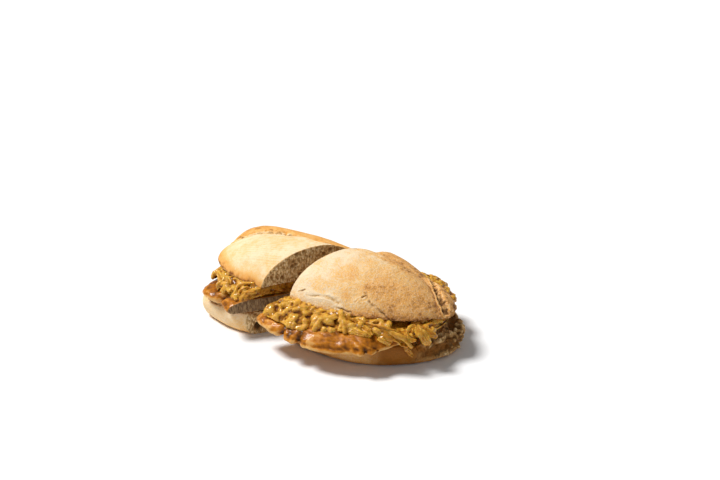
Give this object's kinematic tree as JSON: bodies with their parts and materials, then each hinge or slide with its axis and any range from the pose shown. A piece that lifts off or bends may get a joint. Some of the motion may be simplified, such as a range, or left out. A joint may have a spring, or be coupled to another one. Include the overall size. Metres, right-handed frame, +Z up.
{
  "type": "pork steak sandwich",
  "caption": "Rustic white roll split and filled with a thin pork steak and stewed onions, cut slantwise into halves lying side by side; prepared food.",
  "frame": {"origin": "middle of the whole sandwich in plan, on the surface it lies on", "axes": "+X along the roll towards its right-hand tip, +Y to the back, away from the side that shows its filling, +Z up"},
  "size_m": [0.1875, 0.1121, 0.061],
  "materials": {
    "top_bread": "floury baked crust",
    "onions": "wet, stewed",
    "steak": "browned, glossy with juices",
    "bottom_bread": "baked crust and open crumb"
  },
  "bodies": {
    "root": {"left_bottom_bread": "bottom_bread", "left_steak": "steak", "left_onions": "onions", "left_top_bread": "top_bread", "right_bottom_bread": "bottom_bread", "right_steak": "steak", "right_onions": "onions", "right_top_bread": "top_bread"}
  },
  "joints": []
}
